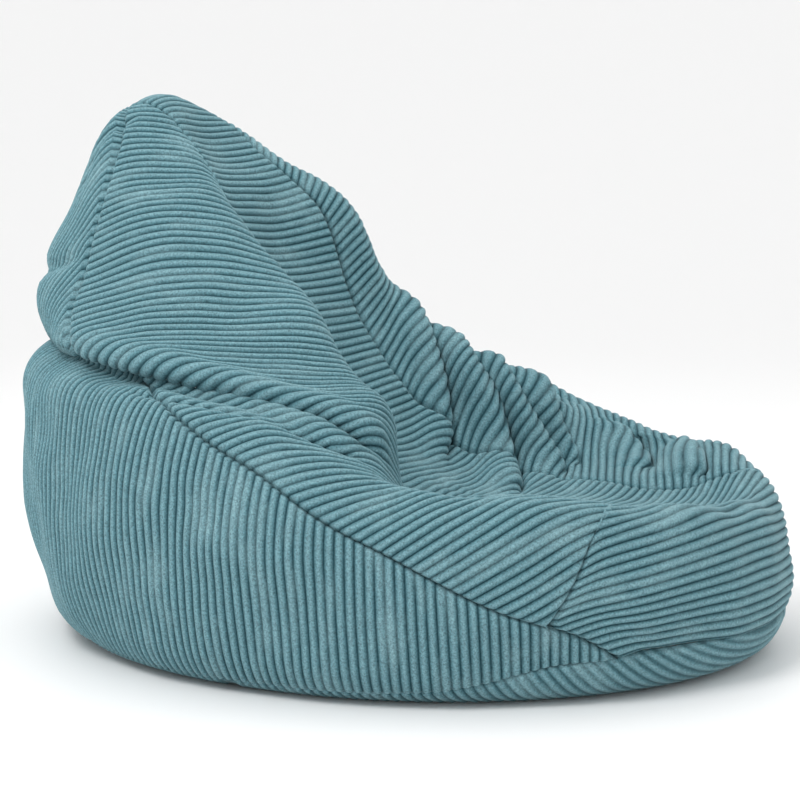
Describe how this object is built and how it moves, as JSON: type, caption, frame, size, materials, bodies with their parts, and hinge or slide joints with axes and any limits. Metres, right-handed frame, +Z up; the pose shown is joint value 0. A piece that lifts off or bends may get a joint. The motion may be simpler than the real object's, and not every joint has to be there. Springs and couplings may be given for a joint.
{
  "type": "bean bag chair",
  "caption": "Low bean bag armchair in wide-wale cord with a raised pointed backrest, rounded arms, a sunk seat and a flat zipped base",
  "frame": {"origin": "middle of the footprint, on the floor", "axes": "+Z up; the sitter faces -Y, the backrest is at +Y, the sitter's right hand is at -X"},
  "size_m": [0.8432, 0.9538, 0.66],
  "materials": {
    "cord_cloth": "brushed wide-wale cord with a soft pile",
    "liner_cloth": "plain weave",
    "foam_beads": "loose expanded beads",
    "zip_tape": "woven tape",
    "liner_zip_tape": "woven tape",
    "zip_coil": "drawn nylon",
    "liner_zip_coil": "drawn nylon",
    "slider_metal": "die-cast and plated",
    "spring_steel": "bright strip",
    "sewing_thread": "twisted thread"
  },
  "bodies": {
    "bag": {"back_panel": "cord_cloth", "seat_panel": "cord_cloth", "side_panel_left": "cord_cloth", "side_panel_right": "cord_cloth", "base_panel_front": "cord_cloth", "base_panel_rear": "cord_cloth", "liner_bag": "liner_cloth", "bead_fill": "foam_beads", "base_zip_tape_front": "zip_tape", "base_zip_tape_rear": "zip_tape", "base_zip_coil_front": "zip_coil", "base_zip_coil_rear": "zip_coil", "base_zip_top_stops": "slider_metal", "base_zip_bottom_stop": "slider_metal", "base_zip_stitching": "sewing_thread", "liner_zip_tape_front": "liner_zip_tape", "liner_zip_tape_rear": "liner_zip_tape", "liner_zip_coil_front": "liner_zip_coil", "liner_zip_coil_rear": "liner_zip_coil", "liner_zip_top_stops": "slider_metal", "liner_zip_bottom_stop": "slider_metal", "liner_zip_stitching": "sewing_thread"},
    "base_slider": {"base_zip_slider": "slider_metal", "base_zip_lock_spring": "spring_steel"},
    "liner_slider": {"liner_zip_slider": "slider_metal", "liner_zip_lock_spring": "spring_steel"}
  },
  "joints": [
    {"name": "base_zip_slide", "type": "slide", "parent": "bag", "child": "base_slider", "axis": [-1, 0, 0], "range_m": [0, 0.506], "deforming": ["base_zip_tape_front", "base_zip_tape_rear", "base_zip_coil_front", "base_zip_coil_rear"]},
    {"name": "liner_zip_slide", "type": "slide", "parent": "bag", "child": "liner_slider", "axis": [-1, 0, 0], "range_m": [0, 0.37], "deforming": ["liner_zip_tape_front", "liner_zip_tape_rear", "liner_zip_coil_front", "liner_zip_coil_rear"]}
  ]
}
